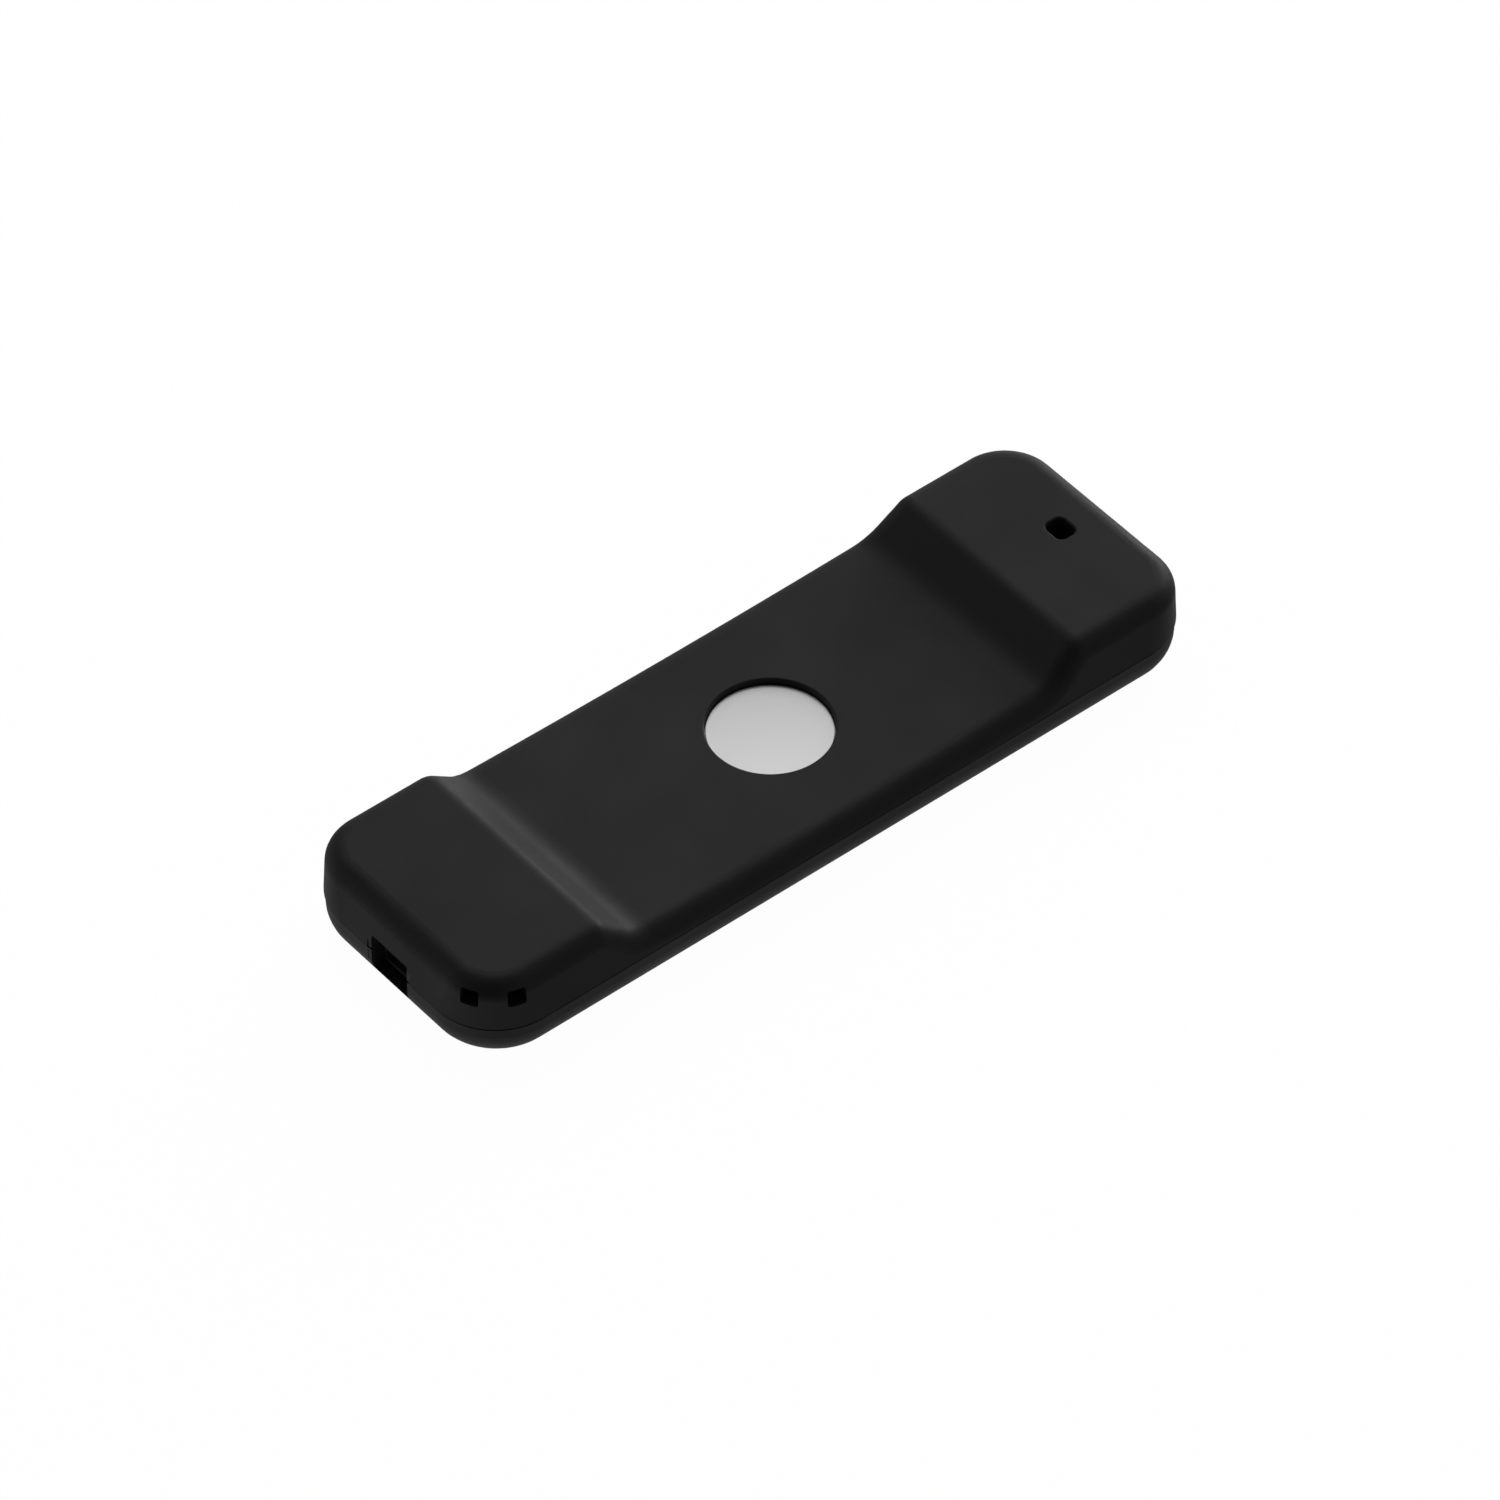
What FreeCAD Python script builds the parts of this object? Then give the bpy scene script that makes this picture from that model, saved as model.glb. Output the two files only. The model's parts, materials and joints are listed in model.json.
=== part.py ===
import FreeCAD, Part
import math
import os

import Sketcher

# A slim hand-held media remote in a one-piece silicone sleeve, lying on its key side.
# Frame: origin at the bottom centre of the sleeve, +Z up, +X towards the microphone end,
# -X towards the charging end. The keys face down, -Z. Millimetres.

VEC = FreeCAD.Vector
UP = VEC(0, 0, 1)

DIMENSIONS = {
    # silicone sleeve
    "sleeve_length": 129.0,
    "sleeve_width": 42.0,
    "sleeve_corner": 10.43,
    "parting_height": 7.0,
    "lower_step": 0.2,
    "groove_depth": 0.6,
    "groove_height": 0.42,
    "bottom_round": 5.03,
    "pod_height": 15.0,
    "wall_lean": 1.32,
    "pod_corner": 6.89,
    "pod_edge_round": 3.15,
    "crest_distance": 43.3,
    "crest_round": 3.13,
    "slope_angle": 39.1,
    "valley_round": 6.6,
    "saddle_height": 9.65,
    "saddle_curve": 1150.0,
    "lip_opening_length": 115.8,
    "lip_opening_width": 28.8,
    "lip_opening_corner": 4.5,
    "lip_edge_round": 0.5,
    "stretch_gap": 0.05,
    "window_offset": 2.65,
    "window_radius": 9.15,
    "window_edge_round": 0.25,
    "microphone_x": 55.3,
    "port_width": 9.2,
    "port_low": 2.6,
    "port_high": 10.6,
    "port_rim": 0.7,
    "port_rim_top": 1.1,
    "port_step": 0.25,
    "end_cut_depth": 3.4,
    "ir_slot_width": 12.0,
    "ir_slot_low": 3.5,
    "ir_slot_high": 7.1,
    "strap_x": 60.66,
    "strap_y": 18.24,
    "strap_inner": 2.0,
    "strap_outer": 4.65,
    "strap_low": 10.95,
    "strap_high": 13.45,
    "magnet_x": 51.0,
    "magnet_y": 10.0,
    "magnet_radius": 4.5,
    "magnet_thickness": 2.5,
    # handset
    "handset_length": 124.0,
    "handset_width": 38.0,
    "handset_corner": 8.6,
    "front_height": 1.5,
    "split_height": 4.2,
    "back_height": 7.8,
    "skin": 1.0,
    "wall": 1.2,
    "front_edge_round": 2.5,
    "back_edge_round": 1.1,
    "plate_length": 117.0,
    "plate_width": 31.0,
    "plate_corner": 5.0,
    "plate_thickness": 0.8,
    "badge_radius": 8.9,
    "badge_height": 1.0,
    "badge_dome": 270.0,
    "web_top": 3.3,
    "fit_gap": 0.1,
    # keys
    "key_face": 1.2,
    "key_gap": 0.15,
    "key_radius": 4.0,
    "key_edge_round": 0.35,
    "flange_low": 3.35,
    "flange_high": 3.75,
    "flange_reach": 0.5,
    "nub_radius": 1.0,
    "nub_high": 3.95,
    "key_column": 8.0,
    "key_pitch": 10.0,
    "first_row": 12.0,
    "top_row": 50.5,
    "ring_x": 31.0,
    "ring_outer": 12.2,
    "ring_inner": 6.4,
    "ring_spoke": 1.4,
    "ok_radius": 4.9,
    "rocker_length": 18.0,
    "rocker_width": 8.0,
    "rocker_corner": 3.9,
    "rocker_gap": 0.25,
    "rocker_nub_reach": 6.5,
    "pin_radius": 0.4,
    "pin_height": 3.8,
    "pin_length": 10.6,
    # boards
    "board_low": 4.5,
    "board_high": 5.3,
    "board_start": -16.5,
    "board_end": 59.2,
    "board_width": 32.6,
    "dome_low": 4.25,
    "dome_radius": 2.0,
    "dome_crown": 1.1,
    "spacer_thickness": 0.1,
    "boss_radius": 1.6,
    "screw_radius": 0.6,
    "head_radius": 1.15,
    "head_height": 0.5,
    # battery and socket
    "battery_length": 31.0,
    "battery_width": 27.2,
    "battery_x": -34.7,
    "battery_low": 3.5,
    "battery_high": 6.4,
    "socket_length": 6.8,
    "socket_width": 8.0,
    "socket_height": 2.8,
    "socket_mid": 4.8,
    "socket_mouth_width": 6.9,
    "socket_mouth_height": 1.7,
    "socket_depth": 6.0,
    "socket_setback": 0.5,
    "bezel_width": 8.3,
    "bezel_low": 3.35,
    "bezel_high": 6.3,
    "contact_count": 8,
}

doc = FreeCAD.newDocument("media_remote")
dims = doc.addObject("Spreadsheet::Sheet", "dims")
for row, (word, size) in enumerate(DIMENSIONS.items(), start=1):
    dims.set(f"A{row}", word)
    dims.set(f"B{row}", str(size))
    dims.setAlias(f"B{row}", word)
doc.recompute()

nodes = []


# ---------- helpers: every size is an expression on the dims sheet ----------


def number(expression):
    return float(dims.evalExpression(str(expression)))


def keep(item):
    nodes.append(item)
    return item


def new_body(label):
    body = doc.addObject("PartDesign::Body", label)
    body.Label = label
    return body


def new_sketch(body, role="XY_Plane", offset="0"):
    sketch = body.newObject("Sketcher::SketchObject", body.Label + "_sketch")
    plane = next(f for f in body.Origin.OriginFeatures if f.Role == role)
    sketch.AttachmentSupport = (plane, [""])
    sketch.MapMode = "FlatFace"
    sketch.setExpression("AttachmentOffset.Base.z", str(offset))
    return sketch


def constrain(sketch, expression, kind, *where):
    index = sketch.addConstraint(Sketcher.Constraint(kind, *where, number(expression)))
    sketch.setExpression(f"Constraints[{index}]", expression)


def rounded_rectangle(sketch, x, y, length, width, radius):
    right = f"({x}) + ({length}) / 2"
    far = f"({y}) + ({width}) / 2"
    centre_x, centre_y, bend = number(x), number(y), number(radius)
    reach_x = number(length) / 2 - bend
    reach_y = number(width) / 2 - bend
    arcs = []
    for side_x, side_y, start in ((1, 1, 0), (-1, 1, 90), (-1, -1, 180), (1, -1, 270)):
        centre = VEC(centre_x + side_x * reach_x, centre_y + side_y * reach_y, 0)
        circle_edge = Part.Circle(centre, UP, bend)
        arc = Part.ArcOfCircle(circle_edge, math.radians(start), math.radians(start + 90))
        arcs.append(sketch.addGeometry(arc, False))
    lines = []
    for index, arc in enumerate(arcs):
        following = arcs[(index + 1) % 4]
        segment = Part.LineSegment(sketch.getPoint(arc, 2), sketch.getPoint(following, 1))
        line = sketch.addGeometry(segment, False)
        lines.append(line)
        direction = "Vertical" if index % 2 else "Horizontal"
        sketch.addConstraint(Sketcher.Constraint("Tangent", arc, 2, line, 1))
        sketch.addConstraint(Sketcher.Constraint("Tangent", line, 2, following, 1))
        sketch.addConstraint(Sketcher.Constraint(direction, line))
    for arc in arcs[1:]:
        sketch.addConstraint(Sketcher.Constraint("Equal", arcs[0], arc))
    constrain(sketch, radius, "Radius", arcs[0])
    constrain(sketch, length, "DistanceX", lines[1], 1, lines[3], 1)
    constrain(sketch, width, "DistanceY", lines[2], 1, lines[0], 1)
    constrain(sketch, right, "DistanceX", -1, 1, lines[3], 1)
    constrain(sketch, far, "DistanceY", -1, 1, lines[0], 1)


def circle(sketch, x, y, radius):
    edge = sketch.addGeometry(Part.Circle(VEC(number(x), number(y), 0), UP, number(radius)), False)
    constrain(sketch, x, "DistanceX", -1, 1, edge, 3)
    constrain(sketch, y, "DistanceY", -1, 1, edge, 3)
    constrain(sketch, radius, "Radius", edge)


def pad(body, sketch, length):
    feature = body.newObject("PartDesign::Pad", body.Label + "_pad")
    feature.Profile = sketch
    feature.setExpression("Length", str(length))
    doc.recompute()


def pocket(body, sketch, depth, along_normal=False):
    volume = body.Shape.Volume
    feature = body.newObject("PartDesign::Pocket", body.Label + "_pocket")
    feature.Profile = sketch
    feature.Reversed = along_normal
    feature.setExpression("Length", str(depth))
    doc.recompute()
    if body.Shape.Volume > volume - 1e-6:
        raise ValueError(f"a pocket of {body.Label} cuts nothing")


def round_edges(body, radius, chosen):
    base = body.Tip
    picked = [f"Edge{i}" for i, edge in enumerate(base.Shape.Edges, start=1) if chosen(edge.BoundBox)]
    feature = body.newObject("PartDesign::Fillet", body.Label + "_round")
    feature.Base = (base, picked)
    feature.setExpression("Radius", radius)
    doc.recompute()


def level(height):
    """Chooses the edges that lie at one height."""
    z = number(height)
    return lambda box: abs(box.ZMin - z) < 1e-3 and abs(box.ZMax - z) < 1e-3


def place(item, x, y, z):
    item.setExpression("Placement.Base.x", str(x))
    item.setExpression("Placement.Base.y", str(y))
    item.setExpression("Placement.Base.z", str(z))
    return item


def block(label, x, y, low, length, width, height):
    """A box centred at x, y that stands on the height low."""
    item = doc.addObject("Part::Box", label)
    item.Label = label
    item.setExpression("Length", str(length))
    item.setExpression("Width", str(width))
    item.setExpression("Height", str(height))
    return place(item, f"({x}) - ({length}) / 2", f"({y}) - ({width}) / 2", low)


def disc(label, x, y, low, radius, height):
    item = doc.addObject("Part::Cylinder", label)
    item.Label = label
    item.setExpression("Radius", str(radius))
    item.setExpression("Height", str(height))
    return place(item, x, y, low)


def join(label, pieces):
    item = doc.addObject("Part::MultiFuse", label)
    item.Label = label
    item.Shapes = pieces
    return item


def cut(label, base, tools):
    item = doc.addObject("Part::Cut", label)
    item.Label = label
    item.Base = base
    item.Tool = tools[0] if len(tools) == 1 else join(label + "_tools", tools)
    return item


def common(label, pieces):
    item = doc.addObject("Part::MultiCommon", label)
    item.Label = label
    item.Shapes = pieces
    return item


# ---------- silicone sleeve ----------


def saddle_profile(sketch):
    """The gap between the pods: crest arcs, straight slopes, valley arcs and a gently hollow floor."""
    top = number("dims.pod_height")
    crest, valley = number("dims.crest_round"), number("dims.valley_round")
    floor = number("dims.saddle_curve")
    angle = math.radians(number("dims.slope_angle"))
    normal, slope = VEC(math.sin(angle), math.cos(angle), 0), VEC(math.cos(angle), -math.sin(angle), 0)
    crest_centre = VEC(-number("dims.crest_distance"), top - crest, 0)
    crest_end = crest_centre + normal * crest
    floor_centre = VEC(0, number("dims.saddle_height") + floor, 0)
    offset = crest_end + normal * valley - floor_centre
    along = offset.dot(slope)
    run = -along - math.sqrt(along**2 - offset.dot(offset) + (floor - valley) ** 2)
    if run < 0:
        run = -along + math.sqrt(along**2 - offset.dot(offset) + (floor - valley) ** 2)
    slope_end = crest_end + slope * run
    valley_centre = slope_end + normal * valley
    valley_end = floor_centre + (valley_centre - floor_centre) * (floor / (floor - valley))

    def mirrored(point):
        return VEC(-point.x, point.y, 0)

    def arc(centre, radius, first, last):
        angles = [math.atan2(p.y - centre.y, p.x - centre.x) for p in (first, last)]
        return sketch.addGeometry(Part.ArcOfCircle(Part.Circle(centre, UP, radius), *angles), False)

    def line(first, last):
        return sketch.addGeometry(Part.LineSegment(first, last), False)

    crest_start = VEC(crest_centre.x, top, 0)
    lid_corner = crest_start + VEC(0, 1, 0)
    left_crest = arc(crest_centre, crest, crest_end, crest_start)
    left_slope = line(crest_end, slope_end)
    left_valley = arc(valley_centre, valley, slope_end, valley_end)
    bed = arc(floor_centre, floor, valley_end, mirrored(valley_end))
    right_valley = arc(mirrored(valley_centre), valley, mirrored(valley_end), mirrored(slope_end))
    right_slope = line(mirrored(slope_end), mirrored(crest_end))
    right_crest = arc(mirrored(crest_centre), crest, mirrored(crest_start), mirrored(crest_end))
    right_side = line(mirrored(crest_start), mirrored(lid_corner))
    lid = line(mirrored(lid_corner), lid_corner)
    left_side = line(lid_corner, crest_start)

    def tie(kind, *where):
        sketch.addConstraint(Sketcher.Constraint(kind, *where))

    tie("Tangent", left_crest, 1, left_slope, 1)
    tie("Tangent", left_slope, 2, left_valley, 1)
    tie("Tangent", left_valley, 2, bed, 1)
    tie("Tangent", bed, 2, right_valley, 1)
    tie("Tangent", right_valley, 2, right_slope, 1)
    tie("Tangent", right_slope, 2, right_crest, 2)
    tie("Coincident", right_crest, 1, right_side, 1)
    tie("Coincident", right_side, 2, lid, 1)
    tie("Coincident", lid, 2, left_side, 1)
    tie("Coincident", left_side, 2, left_crest, 2)
    tie("Vertical", right_side)
    tie("Vertical", left_side)
    tie("Horizontal", lid)
    tie("Vertical", left_crest, 2, left_crest, 3)
    tie("Vertical", right_crest, 1, right_crest, 3)
    tie("PointOnObject", bed, 3, -2)
    tie("Equal", left_crest, right_crest)
    tie("Equal", left_valley, right_valley)
    leans = sketch.addConstraint(Sketcher.Constraint("Angle", left_slope, -angle))
    sketch.setExpression(f"Constraints[{leans}]", "-dims.slope_angle")
    constrain(sketch, "dims.crest_round", "Radius", left_crest)
    constrain(sketch, "dims.valley_round", "Radius", left_valley)
    constrain(sketch, "dims.saddle_curve", "Radius", bed)
    constrain(sketch, "dims.saddle_height + dims.saddle_curve", "DistanceY", -1, 1, bed, 3)
    constrain(sketch, "-dims.crest_distance", "DistanceX", -1, 1, left_crest, 2)
    constrain(sketch, "dims.crest_distance", "DistanceX", -1, 1, right_crest, 1)
    constrain(sketch, "dims.pod_height", "DistanceY", -1, 1, left_crest, 2)
    constrain(sketch, "dims.pod_height", "DistanceY", -1, 1, right_crest, 1)
    constrain(sketch, "dims.pod_height + 1", "DistanceY", -1, 1, lid, 1)


def outer_edge(box):
    """Chooses the edges all round the sleeve's top, and leaves out the lines across the crests."""
    high = box.ZMin > number("dims.saddle_height") - 0.5
    across = abs(box.XMin) < 60 and abs(box.XMin - box.XMax) < 1e-3
    upright = abs(box.ZMax - box.ZMin) > 1 and box.XMax < -60 or box.XMin > 60 and box.ZMax - box.ZMin > 1
    return high and not across and not upright


def inner_lip(box):
    """Chooses the lip opening's edge on the table side."""
    flat = abs(box.ZMin) < 1e-3 and abs(box.ZMax) < 1e-3
    return flat and abs(box.XMax) < 58.5 and abs(box.YMax) < 15 and abs(box.XMin) < 58.5


def window_rim(box):
    """Chooses the upper edge of the round window."""
    return box.ZMin > 9 and box.ZMax < 10 and abs(box.XLength - 2 * number("dims.window_radius")) < 0.1


def microphone_rim(box):
    """Chooses the edges of the microphone hole on top of the pod."""
    on_top = box.ZMin > number("dims.pod_height") - 1e-3
    middle = (box.XMin + box.XMax) / 2
    return on_top and abs(middle - number("dims.microphone_x")) < 2 and box.YLength < 4.5


def silicone_sleeve():
    body = new_body("silicone_sleeve")
    step = "2 * dims.lower_step"
    groove = "2 * dims.groove_depth"
    lower = new_sketch(body)
    length, width = f"dims.sleeve_length - {step}", f"dims.sleeve_width - {step}"
    rounded_rectangle(lower, "0", "0", length, width, "dims.sleeve_corner - dims.lower_step")
    pad(body, lower, "dims.parting_height - dims.groove_height")
    round_edges(body, "dims.bottom_round", level("0"))
    neck = new_sketch(body, offset="dims.parting_height - dims.groove_height")
    length, width = f"dims.sleeve_length - {groove}", f"dims.sleeve_width - {groove}"
    rounded_rectangle(neck, "0", "0", length, width, "dims.sleeve_corner - dims.groove_depth")
    pad(body, neck, "dims.groove_height")
    foot = new_sketch(body, offset="dims.parting_height")
    rounded_rectangle(foot, "0", "0", "dims.sleeve_length", "dims.sleeve_width", "dims.sleeve_corner")
    head = new_sketch(body, offset="dims.pod_height")
    length, width = "dims.sleeve_length - 2 * dims.wall_lean", "dims.sleeve_width - 2 * dims.wall_lean"
    rounded_rectangle(head, "0", "0", length, width, "dims.pod_corner")
    loft = body.newObject("PartDesign::AdditiveLoft", "sleeve_upper")
    loft.Profile = foot
    loft.Sections = [head]
    doc.recompute()
    saddle = new_sketch(body, "XZ_Plane", "-dims.sleeve_width")
    saddle_profile(saddle)
    pocket(body, saddle, "2 * dims.sleeve_width", along_normal=True)
    round_edges(body, "dims.pod_edge_round", outer_edge)
    # the lip's opening, then the hollow that holds the handset
    lip = new_sketch(body)
    opening = ("dims.lip_opening_length", "dims.lip_opening_width", "dims.lip_opening_corner")
    rounded_rectangle(lip, "0", "0", *opening)
    pocket(body, lip, "dims.front_height + 1", along_normal=True)
    round_edges(body, "dims.lip_edge_round", inner_lip)
    hollow = new_sketch(body, offset="dims.back_height + dims.stretch_gap")
    length = "dims.handset_length + 2 * dims.stretch_gap"
    width = "dims.handset_width + 2 * dims.stretch_gap"
    rounded_rectangle(hollow, "0", "0", length, width, "dims.handset_corner + dims.stretch_gap")
    pocket(body, hollow, "dims.back_height - dims.front_height + 2 * dims.stretch_gap")
    # bevelled openings: window, microphone hole, charging opening and infrared slot
    window = new_sketch(body, offset="dims.pod_height")
    circle(window, "dims.window_offset", "0", "dims.window_radius")
    pocket(body, window, "dims.pod_height - dims.back_height")
    round_edges(body, "dims.window_edge_round", window_rim)
    microphone = new_sketch(body, offset="dims.pod_height + 1")
    rounded_rectangle(microphone, "dims.microphone_x", "0", "3.3", "3.9", "1.1")
    pocket(body, microphone, "dims.pod_height + 1 - dims.back_height")
    round_edges(body, "0.35", microphone_rim)
    rim = new_sketch(body, "YZ_Plane", "-dims.sleeve_length / 2 - 1")
    middle = "(dims.port_low + dims.port_high) / 2"
    rounded_rectangle(rim, "0", middle, "dims.port_width", "dims.port_high - dims.port_low", "0.6")
    pocket(body, rim, "dims.port_step + 1", along_normal=True)
    port = new_sketch(body, "YZ_Plane", "-dims.sleeve_length / 2 - 1")
    height = "(dims.port_high - dims.port_low - dims.port_rim_top - 0.2)"
    middle = f"dims.port_low + 0.2 + {height} / 2"
    rounded_rectangle(port, "0", middle, "dims.port_width - 2 * dims.port_rim", height, "0.5")
    pocket(body, port, "dims.end_cut_depth + 1", along_normal=True)
    slot = new_sketch(body, "YZ_Plane", "dims.sleeve_length / 2 + 1")
    middle = "(dims.ir_slot_low + dims.ir_slot_high) / 2"
    rounded_rectangle(slot, "0", middle, "dims.ir_slot_width", "dims.ir_slot_high - dims.ir_slot_low", "1.6")
    pocket(body, slot, "dims.end_cut_depth + 1")
    # tunnel for a wrist strap, turned round an upright axis at one corner of the near pod
    strap = new_sketch(body, "XZ_Plane", "dims.strap_y")
    strap.setExpression("AttachmentOffset.Base.x", "-dims.strap_x")
    middle = "(dims.strap_inner + dims.strap_outer) / 2"
    height = "(dims.strap_low + dims.strap_high) / 2"
    size = ("dims.strap_outer - dims.strap_inner", "dims.strap_high - dims.strap_low", "0.35")
    rounded_rectangle(strap, middle, height, *size)
    tunnel = body.newObject("PartDesign::Groove", "strap_tunnel")
    tunnel.Profile = strap
    tunnel.ReferenceAxis = (strap, ["V_Axis"])
    tunnel.Angle = 360
    # round seats for the pods' magnets, open towards the handset
    seats = new_sketch(body, offset="dims.back_height")
    for side_x in ("-", ""):
        for side_y in ("-", ""):
            circle(seats, f"{side_x}dims.magnet_x", f"{side_y}dims.magnet_y", "dims.magnet_radius + 0.05")
    pocket(body, seats, "dims.magnet_thickness + 0.2", along_normal=True)
    return body


keep(silicone_sleeve())

magnets = [
    disc(f"magnet_{side_x}_{side_y}", f"{side_x} * dims.magnet_x", f"{side_y} * dims.magnet_y",
         "dims.back_height + 0.15", "dims.magnet_radius", "dims.magnet_thickness")
    for side_x in (-1, 1)
    for side_y in (-1, 1)
]
keep(join("pod_magnets", magnets))


# ---------- layout of the keys ----------

ROUND_KEYS = {
    "key_power": ("dims.top_row", "dims.key_column"),
    "key_voice": ("dims.top_row", "-dims.key_column"),
    "key_back": ("dims.first_row", "dims.key_column"),
    "key_home": ("dims.first_row", "-dims.key_column"),
    "key_play": ("dims.first_row - dims.key_pitch", "dims.key_column"),
    "key_mute": ("dims.first_row - 2 * dims.key_pitch", "dims.key_column"),
}
RING_KEYS = {"key_up": 0, "key_left": 90, "key_down": 180, "key_right": 270}
ROCKER_X = "dims.first_row - 1.5 * dims.key_pitch"
ROCKER_Y = "-dims.key_column"
RING_MIDDLE = "(dims.ring_inner + dims.ring_outer) / 2"
BOSSES = [("dims.board_end - 3.6", 13.9), ("dims.ring_x - 11", 13.9), ("-dims.board_end + 3.2", 12.4)]
BOSS_POINTS = [(x, side * y) for x, y in BOSSES for side in (-1, 1)]


def ring_sector(label, turn, gap, low, height):
    """A quarter of the ring without its share of the spokes, grown by gap all round."""
    outer = disc(label + "_outer", "dims.ring_x", "0", low, f"dims.ring_outer + ({gap})", height)
    inner = disc(label + "_inner", "dims.ring_x", "0", low, f"dims.ring_inner - ({gap})", height)
    ring = cut(label + "_ring", outer, [inner])
    wedge = doc.addObject("Part::Box", label + "_wedge")
    wedge.setExpression("Length", "dims.ring_outer * 2")
    wedge.setExpression("Width", "dims.ring_outer * 2")
    wedge.setExpression("Height", height)
    wedge.Placement = FreeCAD.Placement(VEC(0, 0, 0), FreeCAD.Rotation(UP, turn - 45))
    corner = f"(dims.ring_spoke / 2 + dims.key_gap - ({gap})) * sqrt(2)"
    cosine, sine = round(math.cos(math.radians(turn))), round(math.sin(math.radians(turn)))
    place(wedge, f"dims.ring_x + {corner} * ({cosine})", f"{corner} * ({sine})", low)
    return common(label, [ring, wedge])


def key_holes(label, low, high):
    """The tools that open a plate for every key, with the running gap round each."""
    height = f"{high} - ({low})"
    tools = []
    for name, (x, y) in ROUND_KEYS.items():
        tools.append(disc(f"{label}_{name}", x, y, low, "dims.key_radius + dims.key_gap", height))
    for name, turn in RING_KEYS.items():
        tools.append(ring_sector(f"{label}_{name}", turn, "dims.key_gap", low, height))
    tools.append(disc(f"{label}_key_ok", "dims.ring_x", "0", low, "dims.ok_radius + dims.key_gap", height))
    rocker = new_body(f"{label}_rocker")
    outline = new_sketch(rocker, offset=low)
    growth = "2 * dims.rocker_gap"
    size = (f"dims.rocker_length + {growth}", f"dims.rocker_width + {growth}")
    rounded_rectangle(outline, ROCKER_X, ROCKER_Y, *size, "dims.rocker_corner + dims.rocker_gap")
    pad(rocker, outline, height)
    tools.append(rocker)
    tools.append(disc(f"{label}_voice", "dims.top_row", "0", low, "0.5", height))
    tools.append(disc(f"{label}_light", "dims.top_row + 4.5", "0", low, "0.6", height))
    return tools


# ---------- keys ----------


def pressed_key(label, x, y, radius):
    """A round key: cap, retaining flange and the nub that meets the snap dome."""
    body = new_body(label)
    steps = [
        ("dims.key_face", "dims.flange_low", radius),
        ("dims.flange_low", "dims.flange_high", f"{radius} + dims.flange_reach"),
        ("dims.flange_high", "dims.nub_high", "dims.nub_radius"),
    ]
    for low, high, size in steps:
        sketch = new_sketch(body, offset=low)
        circle(sketch, x, y, size)
        pad(body, sketch, f"{high} - {low}")
    round_edges(body, "dims.key_edge_round", level("dims.key_face"))
    return body


for key, (key_x, key_y) in ROUND_KEYS.items():
    keep(pressed_key(key, key_x, key_y, "dims.key_radius"))
keep(pressed_key("key_ok", "dims.ring_x", "0", "dims.ok_radius"))


def direction_key(label, turn):
    """A quarter of the direction ring, with a flange under its outer edge."""
    sector = ring_sector(label + "_cap", turn, "0", "dims.key_face", "dims.flange_low - dims.key_face")
    doc.recompute()
    rounded = doc.addObject("Part::Fillet", label + "_rounded")
    rounded.Base = sector
    face = number("dims.key_face")
    bend = number("dims.key_edge_round")
    edges = enumerate(sector.Shape.Edges, start=1)
    rounded.Edges = [(i, bend, bend) for i, edge in edges if edge.BoundBox.ZMax < face + 1e-3]
    thickness = "dims.flange_high - dims.flange_low"
    flange = ring_sector(label + "_flange", turn, "0", "dims.flange_low", thickness)
    rim_outer = disc(label + "_rim_outer", "dims.ring_x", "0", "dims.flange_low",
                     "dims.ring_outer + dims.flange_reach", thickness)
    rim_inner = disc(label + "_rim_inner", "dims.ring_x", "0", "dims.flange_low",
                     "dims.ring_outer - 1", thickness)
    rim_ring = cut(label + "_rim_ring", rim_outer, [rim_inner])
    rim_wedge = doc.copyObject(flange.Shapes[1])
    rim = common(label + "_rim", [rim_ring, rim_wedge])
    cosine, sine = round(math.cos(math.radians(turn))), round(math.sin(math.radians(turn)))
    nub = disc(label + "_nub", f"dims.ring_x + {RING_MIDDLE} * ({cosine})", f"{RING_MIDDLE} * ({sine})",
               "dims.flange_low", "dims.nub_radius", "dims.nub_high - dims.flange_low")
    return join(label, [rounded, flange, rim, nub])


for key, turn in RING_KEYS.items():
    keep(direction_key(key, turn))


def volume_rocker():
    """A long key that rocks on a pin across its middle and has a nub near each end."""
    cap = new_body("rocker_cap")
    outline = new_sketch(cap, offset="dims.key_face")
    size = ("dims.rocker_length", "dims.rocker_width", "dims.rocker_corner")
    rounded_rectangle(outline, ROCKER_X, ROCKER_Y, *size)
    pad(cap, outline, "dims.web_top - dims.key_face")
    round_edges(cap, "dims.key_edge_round", level("dims.key_face"))
    rib_height = "dims.pin_height + dims.pin_radius - dims.web_top"
    rib = block("rocker_rib", ROCKER_X, ROCKER_Y, "dims.web_top", 2, "dims.rocker_width - 0.4", rib_height)
    nubs = [
        disc(f"rocker_nub_{side}", f"{ROCKER_X} + {side} * dims.rocker_nub_reach", ROCKER_Y,
             "dims.web_top", "dims.nub_radius", "dims.nub_high - dims.web_top")
        for side in (-1, 1)
    ]
    bore = pin_along_y("rocker_bore", "dims.pin_radius + 0.05", "dims.pin_length")
    return cut("volume_rocker", join("rocker_solid", [cap, rib, *nubs]), [bore])


def pin_along_y(label, radius, length):
    pin = doc.addObject("Part::Cylinder", label)
    pin.Label = label
    pin.setExpression("Radius", radius)
    pin.setExpression("Height", length)
    pin.Placement = FreeCAD.Placement(VEC(0, 0, 0), FreeCAD.Rotation(VEC(1, 0, 0), -90))
    return place(pin, ROCKER_X, f"{ROCKER_Y} - ({length}) / 2", "dims.pin_height")


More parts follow.
